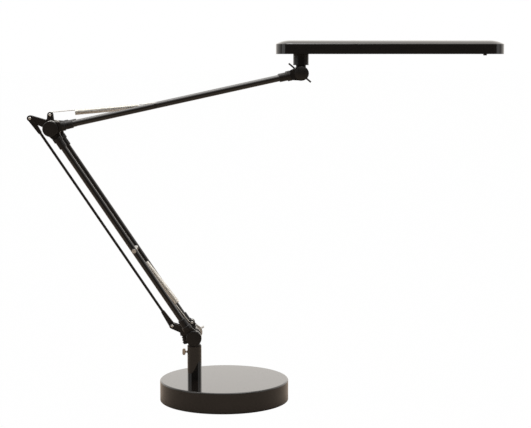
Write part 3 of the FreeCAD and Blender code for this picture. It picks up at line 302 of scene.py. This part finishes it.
RECORD = frame["record"]
BODY_OF = {node: body for body, nodes in RECORD["behaviour"]["bodies"].items() for node in nodes}
SHARP = math.radians(32)
FLAT = math.radians(0.5)  # faces closer than this in angle are joined
WELD = 2e-6  # metres, vertices closer than this are joined
ROUNDING_STEPS = 3

# How far each kind of edge is rounded, in millimetres, by the end of the node's name.
EDGE_BY_ENDING = {
    "base_cover": 0.7,
    "post_tube": 0.4,
    "clamp_screw": 0.7,
    "shoulder_cap": 0.5,
    "elbow_cap": 0.5,
    "head_cap": 0.25,
    "_washer": 0.2,
    "_wing_nut": 0.6,
    "_rivets": 0.4,
    "_front_plate": 0.3,
    "_rear_plate": 0.3,
    "_spacers": 0.4,
    "_fitting": 0.45,
    "_arm_front_tube": 0.1,
    "_arm_rear_tube": 0.1,
    "_cross_pin": 0.2,
    "link_rod": 0.5,
    "cord_gland": 0.3,
    "head_knuckle": 0.5,
    "head_neck": 0.3,
    "head_cover": 0.9,
    "head_tray": 0.3,
    "switch_button": 0.35,
    "shoulder_spigot": 0.3,
    "base_pad": 0.3,
}


def settle(piece, node):
    """Gives a finished piece the material of the node it stands for, and hides that node."""
    piece.data.materials.clear()
    piece.data.materials.append(node_material(node))
    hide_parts(node)


def dressed(node, edge):
    """A node's form with its edges rounded and its round faces shaded smooth."""
    mesh = frame["nodes"][node].data.copy()
    form = bmesh.new()
    form.from_mesh(mesh)
    bmesh.ops.remove_doubles(form, verts=form.verts, dist=WELD)
    bmesh.ops.dissolve_limit(form, angle_limit=FLAT, verts=form.verts, edges=form.edges)
    form.to_mesh(mesh)
    form.free()
    mesh.shade_smooth()
    mesh.set_sharp_from_angle(angle=SHARP)
    piece = bpy.data.objects.new(node + "_dressed", mesh)
    bpy.context.collection.objects.link(piece)
    rounding = piece.modifiers.new("rounding", "BEVEL")
    rounding.width = edge * MM
    rounding.segments = ROUNDING_STEPS
    rounding.limit_method = "ANGLE"
    rounding.angle_limit = SHARP
    rounding.harden_normals = True
    settle(piece, node)
    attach(piece, BODY_OF[node])


def dress_nodes():
    """Dresses every hard piece that can be seen."""
    for node in frame["nodes"]:
        for ending, edge in EDGE_BY_ENDING.items():
            if node.endswith(ending):
                dressed(node, edge)
                break


# ------------------------------------------------------------------ springs

ARM_PIN_AT = 155.0  # millimetres along an arm to the pin that its spring pulls on
EAR_LEG = 36.0
PIN_LEG = 26.0
WIRE_RADIUS = 0.6
COIL_RADIUS = 3.4
COIL_TURNS = 72
STEPS_PER_TURN = 20
WIRE_STEPS = 8
HOOK_TURN = 250.0
HOOK_STEPS = 24


def joint_place(name):
    """A joint's place in the frame."""
    for joint in frame["joints"]:
        if joint["name"] == name:
            return Vector(joint["pos_m"])


def rivet_places(node, pivot):
    """The places of a bracket's two rivets, crank first: each rivet's own box, by its x."""
    points = [vertex.co for vertex in frame["nodes"][node].data.vertices]
    middle = (min(p.x for p in points) + max(p.x for p in points)) / 2
    crank = [p for p in points if p.x < middle]
    ear = [p for p in points if p.x >= middle]
    places = []
    for group in (crank, ear):
        x = (min(p.x for p in group) + max(p.x for p in group)) / 2
        z = (min(p.z for p in group) + max(p.z for p in group)) / 2
        places.append(Vector((x, pivot.y, z)))
    return places


def spring_line(length):
    """The wire's centre line along +X: a hook, a leg, the coil, a leg and a hook, in millimetres."""
    points = []
    for i in range(HOOK_STEPS + 1):
        angle = math.radians(90 + HOOK_TURN * (1 - i / HOOK_STEPS))
        points.append(Vector((COIL_RADIUS * math.cos(angle), 0, COIL_RADIUS * math.sin(angle))))
    start, end = EAR_LEG, length - PIN_LEG
    steps = COIL_TURNS * STEPS_PER_TURN
    for i in range(steps + 1):
        angle = 2 * math.pi * i / STEPS_PER_TURN
        share = i / steps
        x = start + (end - start) * share
        points.append(Vector((x, COIL_RADIUS * math.sin(angle), COIL_RADIUS * math.cos(angle))))
    for i in range(HOOK_STEPS + 1):
        angle = math.radians(90 - HOOK_TURN * i / HOOK_STEPS)
        x = length + COIL_RADIUS * math.cos(angle)
        points.append(Vector((x, 0, COIL_RADIUS * math.sin(angle))))
    return points


def wire_mesh(name, points, radius):
    """A round wire swept along points without twist, capped at both ends."""
    form = bmesh.new()
    rings = []
    across = Vector((0, 1, 0))
    for i, point in enumerate(points):
        ahead = (points[min(i + 1, len(points) - 1)] - points[max(i - 1, 0)]).normalized()
        across = (across - ahead * across.dot(ahead)).normalized()
        other = ahead.cross(across)
        ring = []
        for j in range(WIRE_STEPS):
            angle = 2 * math.pi * j / WIRE_STEPS
            outward = across * math.cos(angle) + other * math.sin(angle)
            ring.append(form.verts.new(point + outward * radius))
        rings.append(ring)
    for before, after in zip(rings, rings[1:]):
        for j in range(WIRE_STEPS):
            k = (j + 1) % WIRE_STEPS
            form.faces.new((before[j], before[k], after[k], after[j]))
    form.faces.new(rings[0][::-1])
    form.faces.new(rings[-1])
    bmesh.ops.recalc_face_normals(form, faces=form.faces)
    mesh = bpy.data.meshes.new(name)
    form.to_mesh(mesh)
    form.free()
    mesh.shade_smooth()
    return mesh


def make_spring(node, ear, pivot, far):
    """One arm's spring, hooked on the bracket's ear pin and on the arm's cross pin."""
    reach = (far - pivot).normalized()
    anchor = pivot + reach * ARM_PIN_AT * MM
    span = anchor - ear
    turn = math.atan2(span.z, span.x)
    line = []
    for point in spring_line(span.length / MM):
        x = point.x * math.cos(turn) - point.z * math.sin(turn)
        z = point.x * math.sin(turn) + point.z * math.cos(turn)
        line.append(ear + Vector((x, point.y, z)) * MM)
    piece = bpy.data.objects.new(node + "_wire", wire_mesh(node + "_wire", line, WIRE_RADIUS * MM))
    bpy.context.collection.objects.link(piece)
    settle(piece, node)
    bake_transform(piece)


def make_springs():
    """Both springs."""
    shoulder = joint_place("lower_arm_hinge")
    elbow = joint_place("upper_arm_hinge")
    head = joint_place("head_tilt")
    lower_ear = rivet_places("shoulder_rivets", shoulder)[1]
    upper_ear = rivet_places("elbow_rivets", elbow)[1]
    make_spring("lower_spring", lower_ear, shoulder, elbow)
    make_spring("upper_spring", upper_ear, elbow, head)


# ------------------------------------------------------------------ stage, light and camera

FLOOR_GLOW = 0.995  # how much of the floor the camera sees as plain white


def make_floor():
    """A plain table, white from the camera, that reflects warm and dim in the lacquer."""
    mesh = bpy.data.meshes.new("floor")
    form = bmesh.new()
    bmesh.ops.create_grid(form, x_segments=1, y_segments=1, size=40)
    form.to_mesh(mesh)
    form.free()
    floor = bpy.data.objects.new("floor", mesh)
    bpy.context.collection.objects.link(floor)
    made = bpy.data.materials.new("floor_white")
    made.use_nodes = True
    nodes, links = made.node_tree.nodes, made.node_tree.links
    shader = nodes["Principled BSDF"]
    shader.inputs["Base Color"].default_value = (0.36, 0.30, 0.25, 1)
    shader.inputs["Roughness"].default_value = 0.9
    shader.inputs["Specular IOR Level"].default_value = 0.0
    glow = nodes.new("ShaderNodeEmission")
    glow.inputs["Color"].default_value = (1, 1, 1, 1)
    path = nodes.new("ShaderNodeLightPath")
    share = nodes.new("ShaderNodeMath")
    share.operation = "MULTIPLY"
    share.inputs[1].default_value = FLOOR_GLOW
    mix = nodes.new("ShaderNodeMixShader")
    links.new(path.outputs["Is Camera Ray"], share.inputs[0])
    links.new(share.outputs[0], mix.inputs["Fac"])
    links.new(shader.outputs[0], mix.inputs[1])
    links.new(glow.outputs[0], mix.inputs[2])
    links.new(mix.outputs[0], nodes["Material Output"].inputs["Surface"])
    mesh.materials.append(made)


def make_world():
    """A studio: white behind and above the lamp, darker on the camera's side, white to the camera."""
    world = bpy.data.worlds.new("studio")
    bpy.context.scene.world = world
    world.use_nodes = True
    nodes, links = world.node_tree.nodes, world.node_tree.links
    place = nodes.new("ShaderNodeTexCoord")
    split = nodes.new("ShaderNodeSeparateXYZ")
    links.new(place.outputs["Generated"], split.inputs[0])
    depth = nodes.new("ShaderNodeMapRange")
    depth.interpolation_type = "SMOOTHSTEP"
    depth.inputs["From Min"].default_value = -0.35
    depth.inputs["From Max"].default_value = 0.45
    depth.inputs["To Min"].default_value = 0.10
    depth.inputs["To Max"].default_value = 1.0
    links.new(split.outputs["Y"], depth.inputs["Value"])
    height = nodes.new("ShaderNodeMapRange")
    height.interpolation_type = "SMOOTHSTEP"
    height.inputs["From Min"].default_value = 0.45
    height.inputs["From Max"].default_value = 0.85
    height.inputs["To Min"].default_value = 0.0
    height.inputs["To Max"].default_value = 1.0
    links.new(split.outputs["Z"], height.inputs["Value"])
    most = nodes.new("ShaderNodeMath")
    most.operation = "MAXIMUM"
    links.new(depth.outputs["Result"], most.inputs[0])
    links.new(height.outputs["Result"], most.inputs[1])
    room = nodes["Background"]
    room.inputs["Color"].default_value = (1.0, 0.96, 0.91, 1)
    links.new(most.outputs[0], room.inputs["Strength"])
    seen = nodes.new("ShaderNodeBackground")
    seen.inputs["Color"].default_value = (1, 1, 1, 1)
    seen.inputs["Strength"].default_value = 1.0
    path = nodes.new("ShaderNodeLightPath")
    mix = nodes.new("ShaderNodeMixShader")
    links.new(path.outputs["Is Camera Ray"], mix.inputs["Fac"])
    links.new(room.outputs[0], mix.inputs[1])
    links.new(seen.outputs[0], mix.inputs[2])
    links.new(mix.outputs[0], nodes["World Output"].inputs["Surface"])


def soft_box(name, place, target, size, power):
    """A large area light at place, turned towards target."""
    light = bpy.data.lights.new(name, "AREA")
    light.shape = "RECTANGLE"
    light.size, light.size_y = size
    light.energy = power
    lamp = bpy.data.objects.new(name, light)
    bpy.context.collection.objects.link(lamp)
    lamp.location = place
    heading = Vector(target) - Vector(place)
    lamp.rotation_euler = heading.to_track_quat("-Z", "Y").to_euler()


def make_lights():
    """Soft boxes above, at the left and at the right."""
    centre = (0, 0, 0.25)
    soft_box("top_light", (0.1, 0.3, 2.2), centre, (2.4, 1.6), 22)
    soft_box("left_light", (-2.0, -0.9, 1.3), centre, (1.2, 1.8), 6)
    soft_box("right_light", (2.1, -0.7, 1.2), centre, (1.0, 1.6), 4)


def make_camera():
    """The photograph's camera."""
    camera = bpy.data.cameras.new("camera")
    camera.sensor_width = SENSOR_WIDTH
    camera.lens = CAMERA_FOCUS / IMAGE_SIZE[0] * SENSOR_WIDTH
    camera.clip_end = 100
    viewer = bpy.data.objects.new("camera", camera)
    bpy.context.collection.objects.link(viewer)
    viewer.location = CAMERA_PLACE
    viewer.rotation_euler = Euler((math.radians(90 - CAMERA_PITCH), 0, math.radians(-CAMERA_PAN)))
    bpy.context.scene.camera = viewer


finish_nodes()
dress_nodes()
make_springs()
make_floor()
make_world()
make_lights()
make_camera()
bpy.context.scene.view_settings.view_transform = "Standard"
